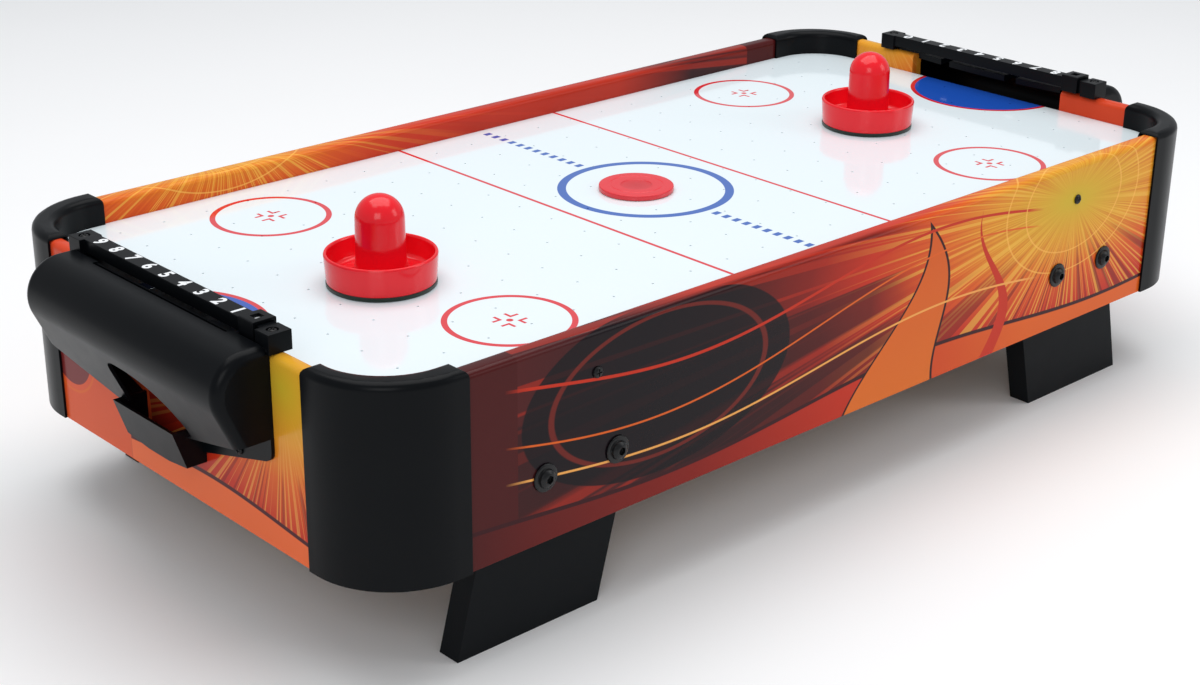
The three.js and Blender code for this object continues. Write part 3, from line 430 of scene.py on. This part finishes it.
# ---------- playing surface with its printed lines ----------
PRINT_X = -5  # the print's centre
EDGE = 0.3  # softness of the printed edges
GOAL_LINE = 83
GOAL_LINE_HALF = 1.5
DASH_PITCH = 10.2
DASH_START, DASH_END = 0.18, 0.70  # as shares of the pitch
DASH_HALF = 3.5
DASH_REACH = 195
CIRCLE_RADIUS = 67.65
CIRCLE_LINE = 6.8
SPOT = (251, 135)
SPOT_RADIUS = 44.35
SPOT_LINE = 4.2
DOT_RADIUS = 2.4
CHEVRON_START = 3.4
CHEVRON_LENGTH = 7.4
CHEVRON_LINE = 2.2
CREASE_X = 424
CREASE_RADIUS = 67.6
CREASE_LINE = 3.8
LINE_RED = srgb(222, 40, 52)
LINE_BLUE = srgb(40, 96, 184)
CREASE_BLUE = srgb(32, 84, 184)


def field_print():
    look = Look("printed_field")
    x = look.x - PRINT_X
    y = look.y
    ax, ay = abs(x), abs(y)
    look.colour = look.mixed(
        look.noise(0.004, 2.0), srgb(233, 245, 249), srgb(238, 248, 252)
    )
    look.paint((abs(ax - GOAL_LINE) - GOAL_LINE_HALF).below(0.0, EDGE), LINE_RED)
    dash = (ay / DASH_PITCH).op("FRACT").between(DASH_START, DASH_END, 0.03)
    dashes = dash * ax.below(DASH_HALF, EDGE) * ay.above(CIRCLE_RADIUS + 3, EDGE)
    look.paint(dashes * ay.below(DASH_REACH, EDGE), LINE_BLUE)
    radius = length_of(x, y)
    look.paint(radius.between(CIRCLE_RADIUS - CIRCLE_LINE, CIRCLE_RADIUS, EDGE), LINE_BLUE)
    sx, sy = ax - SPOT[0], ay - SPOT[1]
    ring = length_of(sx, sy)
    look.paint(ring.between(SPOT_RADIUS - SPOT_LINE, SPOT_RADIUS, EDGE), LINE_RED)
    look.paint(ring.below(DOT_RADIUS, EDGE), LINE_RED)
    # Four small chevrons round each spot, in its diagonals.
    corner_x, corner_y = abs(sx) - CHEVRON_START, abs(sy) - CHEVRON_START
    reach = corner_x.most(corner_y).below(CHEVRON_LENGTH, EDGE)
    look.paint(reach * corner_x.least(corner_y).between(0.0, CHEVRON_LINE, EDGE), LINE_RED)
    goal = length_of(ax - CREASE_X, y)
    look.paint(goal.below(CREASE_RADIUS, EDGE), LINE_RED)
    look.paint(goal.below(CREASE_RADIUS - CREASE_LINE, EDGE), CREASE_BLUE)
    return look.finish(
        0.10,
        rough_swing=0.05,
        grain=0.008,
        grain_scale=0.12,
        Specular_IOR_Level=0.5,
        Coat_Weight=0.35,
        Coat_Roughness=0.04,
    )


# ---------- plain materials ----------
def plastic(name, colour, rough, swing, grain, scale, shift=0.12, **sockets):
    """Moulded plastic with faint clouding in its colour."""
    look = Look(name)
    paler = tuple(min(1.0, c * (1 + shift) + 0.001) for c in colour[:3]) + (1.0,)
    look.colour = look.mixed(look.noise(0.03, 3.0), colour, paler)
    return look.finish(rough, swing, grain, scale, **sockets)


def bare_board():
    look = Look("bare_board")
    look.colour = board_colour(look)
    return look.finish(0.85, grain=0.12, grain_scale=1.6, detail=4.0)


def steel():
    look = Look("zinc_plated")
    look.colour = look.mixed(look.noise(0.4, 3.0), srgb(150, 152, 156), srgb(186, 188, 192))
    return look.finish(0.32, 0.12, 0.01, 3.0, Metallic=1.0)


def felt_look():
    look = Look("felt")
    look.colour = look.mixed(look.noise(1.6, 4.0, 0.7), srgb(14, 30, 24), srgb(26, 50, 40))
    return look.finish(0.95, grain=0.25, grain_scale=2.2, detail=4.0, Sheen_Weight=0.3)


BLACK_GLOSS = plastic(
    "black_moulding", srgb(6, 8, 11), 0.30, 0.10, 0.02, 1.8, Specular_IOR_Level=0.10
)
BLACK_MATT = plastic(
    "matt_moulding", srgb(14, 16, 18), 0.62, 0.10, 0.05, 1.6, Specular_IOR_Level=0.15
)
LEG_LOOK = plastic(
    "leg_laminate", srgb(10, 13, 16), 0.50, 0.10, 0.03, 0.9, Specular_IOR_Level=0.10
)
BLACK_STEEL = plastic(
    "black_oxide", srgb(9, 10, 12), 0.28, 0.12, 0.02, 2.4, Specular_IOR_Level=0.30
)
RED_LOOK = plastic(
    "red_moulding",
    srgb(232, 16, 32),
    0.18,
    0.05,
    0.006,
    0.3,
    0.06,
    Specular_IOR_Level=0.35,
    Coat_Weight=0.15,
    Coat_Roughness=0.05,
)
FELT_LOOK = felt_look()
STEEL_LOOK = steel()
BOARD_LOOK = bare_board()
SIDE_LOOK = side_print()
END_LOOK = end_print()
FIELD_LOOK = field_print()
WHITE_PRINT = plastic("white_print", srgb(236, 238, 240), 0.45, 0.05, 0.0, 1.0, 0.02)


def puck_look():
    """Red plastic with turned rings and a faintly darker middle."""
    look = Look("puck_moulding")
    low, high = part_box("puck")
    cx, cy = (low.x + high.x) / 2 / MM, (low.y + high.y) / 2 / MM
    radius = length_of(look.x - cx, look.y - cy)
    look.colour = look.ramp(
        radius.spread(0, 29),
        (
            (0.0, srgb(198, 30, 40)),
            (0.40, srgb(210, 36, 46)),
            (0.46, srgb(224, 44, 54)),
            (1.0, srgb(226, 46, 56)),
        ),
    )
    rings = (radius * 0.55).op("FRACT").between(0.40, 0.60, 0.15)
    look.paint(rings * radius.above(12, 1.0) * 0.10, srgb(200, 36, 46))
    return look.finish(0.30, 0.08, 0.01, 0.8)


PUCK_LOOK = puck_look()


# ---------- carried-over CAD nodes ----------
def clad(node, material, bevel=0.5, segments=2):
    """Gives a CAD node its material, softens its edges and keeps its flat faces flat."""
    thing = NODES[node]
    thing.data.materials.clear()
    thing.data.materials.append(material)
    thing.data.shade_smooth()
    weld = thing.modifiers.new("weld", "WELD")
    weld.merge_threshold = 0.01 * MM
    if bevel:
        edge = thing.modifiers.new("edge", "BEVEL")
        edge.width = bevel * MM
        edge.segments = segments
        edge.limit_method = "ANGLE"
        edge.angle_limit = math.radians(38)
        edge.use_clamp_overlap = True
    normals = thing.modifiers.new("normals", "WEIGHTED_NORMAL")
    normals.keep_sharp = True


SMALL_SCREWS = ("rail_screw", "bar_screw", "hood_screw")
for name in sorted(NODES):
    if name.startswith("side_rail"):
        clad(name, SIDE_LOOK, 0.4)
    elif name.startswith("end_rail"):
        clad(name, END_LOOK, 0.4)
    elif "batten" in name or name == "base_panel":
        clad(name, BOARD_LOOK, 0.4, 1)
    elif name.startswith(("corner_cap", "goal_hood")):
        clad(name, BLACK_GLOSS, 0.6, 3)
    elif name.startswith(("score_bar", "score_slider")):
        clad(name, BLACK_GLOSS, 0.35)
    elif name.startswith(SMALL_SCREWS):
        clad(name, BLACK_STEEL, 0.12)
    elif name.startswith("leg_bolt"):
        clad(name, BLACK_STEEL, 0.2)
    elif name.startswith("leg_"):
        clad(name, LEG_LOOK, 0.6)
    elif name.startswith("fan_guard") or name.startswith("fan_screw"):
        clad(name, STEEL_LOOK, 0.15)
    elif name.startswith(("striker", "puck", "playing_surface")):
        pass
    else:
        clad(name, BLACK_MATT, 0.3)


# ---------- new pieces ----------
def add_piece(name, mesh_maker, material, body, *nodes, slot=None, sharp=38):
    """Makes a piece from a bmesh, and lets it ride on a body and stand for CAD nodes."""
    bm = bmesh.new()
    mesh_maker(bm)
    bmesh.ops.recalc_face_normals(bm, faces=bm.faces)
    mesh = bpy.data.meshes.new(name)
    bm.to_mesh(mesh)
    bm.free()
    mesh.materials.append(material)
    mesh.shade_smooth()
    mesh.set_sharp_from_angle(angle=math.radians(sharp))
    thing = bpy.data.objects.new(name, mesh)
    bpy.context.scene.collection.objects.link(thing)
    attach(thing, body)
    if nodes:
        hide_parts(*nodes)
    return thing


def eased(profile, radius, steps=4):
    """The (radius, height) profile with rounded corners; a third value sets a corner's radius."""
    done = [profile[0][:2]]
    for i in range(1, len(profile) - 1):
        here = Vector(profile[i][:2])
        r = profile[i][2] if len(profile[i]) > 2 else radius
        before, after = Vector(profile[i - 1][:2]) - here, Vector(profile[i + 1][:2]) - here
        angle = before.angle(after, 0)
        if r <= 0 or angle > math.radians(172):
            done.append(tuple(here))
            continue
        reach = min(r / math.tan(angle / 2), before.length * 0.45, after.length * 0.45)
        start, end = here + before.normalized() * reach, here + after.normalized() * reach
        for k in range(steps + 1):
            t = k / steps
            done.append(tuple(start * (1 - t) ** 2 + here * 2 * t * (1 - t) + end * t * t))
    done.append(profile[-1][:2])
    return done


def turn(bm, profile, centre, segments=96):
    """Turns a (radius, height) profile in mm about the vertical through centre, in metres."""
    rings = []
    for radius, height in profile:
        if radius < 1e-6:
            rings.append([bm.verts.new(centre + Vector((0, 0, height * MM)))])
            continue
        ring = []
        for k in range(segments):
            a = 2 * math.pi * k / segments
            offset = Vector((radius * math.cos(a), radius * math.sin(a), height)) * MM
            ring.append(bm.verts.new(centre + offset))
        rings.append(ring)
    for low, high in zip(rings, rings[1:]):
        for k in range(segments):
            n = (k + 1) % segments
            corners = [low[k % len(low)], low[n % len(low)]]
            corners += [high[n % len(high)], high[k % len(high)]]
            corners = list(dict.fromkeys(corners))
            if len(corners) > 2:
                bm.faces.new(corners)
    if rings[0] is not rings[-1] and len(rings[0]) > 1 and profile[0] == profile[-1]:
        bmesh.ops.remove_doubles(bm, verts=bm.verts, dist=1e-7)


def middle_of(node):
    low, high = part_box(node)
    return Vector(((low.x + high.x) / 2, (low.y + high.y) / 2, FIELD_TOP))


STRIKER_RADIUS = 38.6
STRIKER_RIM = 23
STRIKER_HEIGHT = 62.7
KNOB_RADIUS = 16.8
KNOB_WALL = 2.6
SHELL_BOTTOM = 3.1
FELT_TOP = 2.8
GAP = 0.3


def arc(cx, cy, radius, start, end, steps):
    return [
        (
            cx + radius * math.cos(math.radians(start + (end - start) * i / steps)),
            cy + radius * math.sin(math.radians(start + (end - start) * i / steps)),
        )
        for i in range(steps + 1)
    ]


def striker_profile():
    dome = arc(0, STRIKER_HEIGHT - KNOB_RADIUS, KNOB_RADIUS, 90, 0, 24)
    inside = arc(0, STRIKER_HEIGHT - KNOB_RADIUS, KNOB_RADIUS - KNOB_WALL, 0, 90, 16)
    wall = [
        dome[-1],
        (KNOB_RADIUS + 0.3, 20, 0),
        (KNOB_RADIUS + 1.2, 12, 6),
        (KNOB_RADIUS + 3.6, 8, 5),
        (STRIKER_RADIUS - 6.5, 6.6, 4),
        (STRIKER_RADIUS - 3.6, 9, 3),
        (STRIKER_RADIUS - 2.6, STRIKER_RIM - 1.4, 1),
        (STRIKER_RADIUS - 2, STRIKER_RIM, 0.9),
        (STRIKER_RADIUS - 0.6, STRIKER_RIM, 0.9),
        (STRIKER_RADIUS, STRIKER_RIM - 1.2, 1),
        (STRIKER_RADIUS - 1.3, SHELL_BOTTOM, 0.6),
        (KNOB_RADIUS - KNOB_WALL, SHELL_BOTTOM, 0.4),
        inside[0],
    ]
    dome[0], inside[-1] = (0, STRIKER_HEIGHT), (0, STRIKER_HEIGHT - KNOB_WALL)
    return dome[:-1] + eased(wall, 1.0) + inside[1:]


def felt_profile():
    inner, outer = KNOB_RADIUS - KNOB_WALL, STRIKER_RADIUS - 1
    ring = [
        (inner, GAP),
        (outer, GAP, 0.5),
        (outer, FELT_TOP, 0.3),
        (inner, FELT_TOP, 0.3),
        (inner, GAP),
    ]
    return eased(ring, 0.3, 3)


for end in ("left", "right"):
    node = f"striker_{end}"
    centre = middle_of(node)
    add_piece(
        f"striker_shell_{end}",
        lambda bm: turn(bm, striker_profile(), centre),
        RED_LOOK,
        node,
        node,
        slot="red_plastic",
    )
    add_piece(
        f"striker_pad_{end}",
        lambda bm: turn(bm, felt_profile(), centre),
        FELT_LOOK,
        node,
        f"striker_felt_{end}",
        slot="felt",
    )

PUCK_RADIUS = 28.7
PUCK_HEIGHT = 4


def puck_profile():
    top = GAP + PUCK_HEIGHT
    ring = PUCK_RADIUS * 0.42
    outline = [
        (0, GAP),
        (PUCK_RADIUS, GAP, 0.9),
        (PUCK_RADIUS, top, 0.9),
        (ring + 9.2, top, 0.2),
        (ring + 8.8, top - 0.25, 0.2),
        (ring + 7.6, top - 0.25, 0.2),
        (ring + 7.2, top, 0.2),
        (ring, top, 0.2),
        (ring - 0.5, top - 0.5, 0.2),
        (0, top - 0.5),
    ]
    return eased(outline, 0.3)


add_piece(
    "puck_disc",
    lambda bm: turn(bm, puck_profile(), middle_of("puck")),
    PUCK_LOOK,
    "puck",
    "puck",
    slot="puck_plastic",
)

# ---------- playing surface with its air holes ----------
HOLE_PITCH = 36
HOLE_RADIUS = 0.9
HOLE_START = (7.6 + PRINT_X, -5)
HOLE_SIDES = 10
HOLE_COLUMNS, HOLE_ROWS = 12, 6  # to each side of the first hole
FIELD_CORNER = 44
HOLE_MARGIN = 6  # kept clear of the board's edge at the corners


def rim_loop(node, height):
    """The outline of a flat CAD board at the given height, in order round it."""
    bm = bmesh.new()
    bm.from_mesh(NODES[node].data)
    bmesh.ops.remove_doubles(bm, verts=bm.verts, dist=0.01 * MM)
    bm.faces.ensure_lookup_table()
    edges = [
        e
        for e in bm.edges
        if all(abs(v.co.z - height) < 0.02 * MM for v in e.verts)
        and any(abs(f.normal.z) < 0.5 for f in e.link_faces)
    ]
    start = edges[0].verts[0]
    loop, edge, vert = [start.co.copy()], edges[0], edges[0].other_vert(start)
    while vert is not start:
        loop.append(vert.co.copy())
        edge = next(e for e in vert.link_edges if e in edges and e is not edge)
        vert = edge.other_vert(vert)
    bm.free()
    return loop


def hole_centres(outline):
    xs, ys = [p.x for p in outline], [p.y for p in outline]
    corner = FIELD_CORNER * MM
    margin = HOLE_MARGIN * MM
    centres = []
    for i in range(-HOLE_COLUMNS, HOLE_COLUMNS + 1):
        for j in range(-HOLE_ROWS, HOLE_ROWS + 1):
            x = (HOLE_START[0] + HOLE_PITCH * i) * MM
            y = (HOLE_START[1] + HOLE_PITCH * j) * MM
            dx = max(0, abs(x) - (max(xs) - corner))
            dy = max(0, abs(y) - (max(ys) - corner))
            if math.hypot(dx, dy) < corner - margin:
                centres.append((x, y))
    return centres


def drilled_board(bm):
    outline = [Vector((p.x, p.y)) for p in rim_loop("playing_surface", FIELD_TOP)]
    centres = hole_centres(outline)
    points = list(outline)
    edges = [(i, (i + 1) % len(outline)) for i in range(len(outline))]
    for x, y in centres:
        first = len(points)
        for k in range(HOLE_SIDES):
            a = 2 * math.pi * k / HOLE_SIDES
            points.append(
                Vector((x + HOLE_RADIUS * MM * math.cos(a), y + HOLE_RADIUS * MM * math.sin(a)))
            )
            edges.append((first + k, first + (k + 1) % HOLE_SIDES))
    flat, _, faces, _, _, _ = delaunay_2d_cdt(points, edges, [], 1, 1e-7)
    pitch = HOLE_PITCH * MM
    kept = []
    for face in faces:
        mid = sum((flat[i] for i in face), Vector((0, 0))) / len(face)
        x = (mid.x - HOLE_START[0] * MM + pitch / 2) % pitch - pitch / 2
        y = (mid.y - HOLE_START[1] * MM + pitch / 2) % pitch - pitch / 2
        if math.hypot(x, y) > HOLE_RADIUS * MM * 0.9:
            kept.append(face)
    top = [bm.verts.new((p.x, p.y, FIELD_TOP)) for p in flat]
    low = [bm.verts.new((p.x, p.y, FIELD_BOTTOM)) for p in flat]
    count = {}
    for face in kept:
        bm.faces.new([top[i] for i in face])
        bm.faces.new([low[i] for i in reversed(face)])
        for a, b in zip(face, face[1:] + face[:1]):
            count[(a, b)] = count.get((a, b), 0) + 1
    for a, b in count:
        if (b, a) not in count:
            bm.faces.new([top[a], low[a], low[b], top[b]])
    bmesh.ops.delete(bm, geom=[v for v in bm.verts if not v.link_faces], context="VERTS")


add_piece(
    "drilled_playfield",
    drilled_board,
    FIELD_LOOK,
    "table",
    "playing_surface",
    slot="playfield",
    sharp=30,
)

# ---------- digits on the score bars ----------
DIGIT_SIZE = 13.5
DIGIT_RAISE = 0.06
DIGIT_BOLD = 0.5  # how far each outline is moved outwards


def add_digit(number, x, y, facing, name):
    """A white digit lying on a bar, read by someone at that end."""
    curve = bpy.data.curves.new(name, "FONT")
    curve.body = str(number)
    curve.size = DIGIT_SIZE * MM
    curve.align_x = "CENTER"
    curve.align_y = "CENTER"
    curve.offset = DIGIT_BOLD * MM
    curve.resolution_u = 6
    draft = bpy.data.objects.new(name + "_draft", curve)
    bpy.context.scene.collection.objects.link(draft)
    bpy.context.view_layer.update()
    mesh = bpy.data.meshes.new_from_object(draft)
    bpy.data.objects.remove(draft)
    mesh.name = name
    heights = [v.co.y for v in mesh.vertices]
    mesh.transform(Matrix.Translation((0, -(min(heights) + max(heights)) / 2, 0)))
    place = Matrix.Translation((x, y, BAR_TOP)) @ Matrix.Rotation(facing, 4, "Z")
    mesh.transform(place)
    mesh.materials.clear()
    mesh.materials.append(WHITE_PRINT)
    bm = bmesh.new()
    bm.from_mesh(mesh)
    bmesh.ops.remove_doubles(bm, verts=bm.verts, dist=1e-7)
    grown = bmesh.ops.extrude_face_region(bm, geom=list(bm.faces))
    lifted = [v for v in grown["geom"] if isinstance(v, bmesh.types.BMVert)]
    bmesh.ops.translate(bm, verts=lifted, vec=(0, 0, DIGIT_RAISE * MM))
    bmesh.ops.recalc_face_normals(bm, faces=bm.faces)
    bm.to_mesh(mesh)
    bm.free()
    mesh.shade_flat()
    thing = bpy.data.objects.new(name, mesh)
    bpy.context.scene.collection.objects.link(thing)
    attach(thing, "table")


for end in ("left", "right"):
    slider_low, slider_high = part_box(f"score_slider_{end}")
    beam_x = (slider_low.x + slider_high.x) / 2
    for k in range(10):
        along = (4.5 - k) * DIGIT_PITCH
        number = 9 - k if end == "left" else k
        facing = -math.pi / 2 if end == "left" else math.pi / 2
        add_digit(number, beam_x, along, facing, f"digit_{end}_{number}")

# ---------- floor and light ----------


def make_floor():
    look = Look("floor")
    look.colour = look.mixed(look.noise(0.002, 2.0), srgb(246, 246, 246), srgb(250, 250, 250))
    material = look.finish(0.7)
    mesh = bpy.data.meshes.new("floor")
    reach = 12
    corners = [(-reach, -reach, 0), (reach, -reach, 0), (reach, reach, 0), (-reach, reach, 0)]
    mesh.from_pydata(corners, [], [(0, 1, 2, 3)])
    mesh.materials.append(material)
    floor = bpy.data.objects.new("floor", mesh)
    bpy.context.scene.collection.objects.link(floor)


def add_light(name, place, aim, size, power, colour=(1, 1, 1)):
    data = bpy.data.lights.new(name, "AREA")
    data.shape = "RECTANGLE"
    data.size, data.size_y = size
    data.energy = power
    data.color = colour
    light = bpy.data.objects.new(name, data)
    light.location = place
    light.rotation_euler = (Vector(aim) - Vector(place)).to_track_quat("-Z", "Y").to_euler()
    bpy.context.scene.collection.objects.link(light)


make_floor()
bpy.context.scene.view_settings.view_transform = "Standard"
world = bpy.data.worlds.new("studio")
world.use_nodes = True
world.node_tree.nodes["Background"].inputs["Color"].default_value = (0.93, 0.96, 1.0, 1.0)
world.node_tree.nodes["Background"].inputs["Strength"].default_value = 0.5
bpy.context.scene.world = world
add_light("overhead", (0.1, 0.2, 2.2), (0, 0, 0.1), (2.6, 2.0), 38)
add_light("front_left", (-2.0, -1.6, 1.4), (-0.2, 0, 0.1), (1.2, 1.2), 12)
add_light("right_side", (1.6, -1.8, 1.2), (0.1, -0.1, 0.1), (1.0, 1.2), 8)
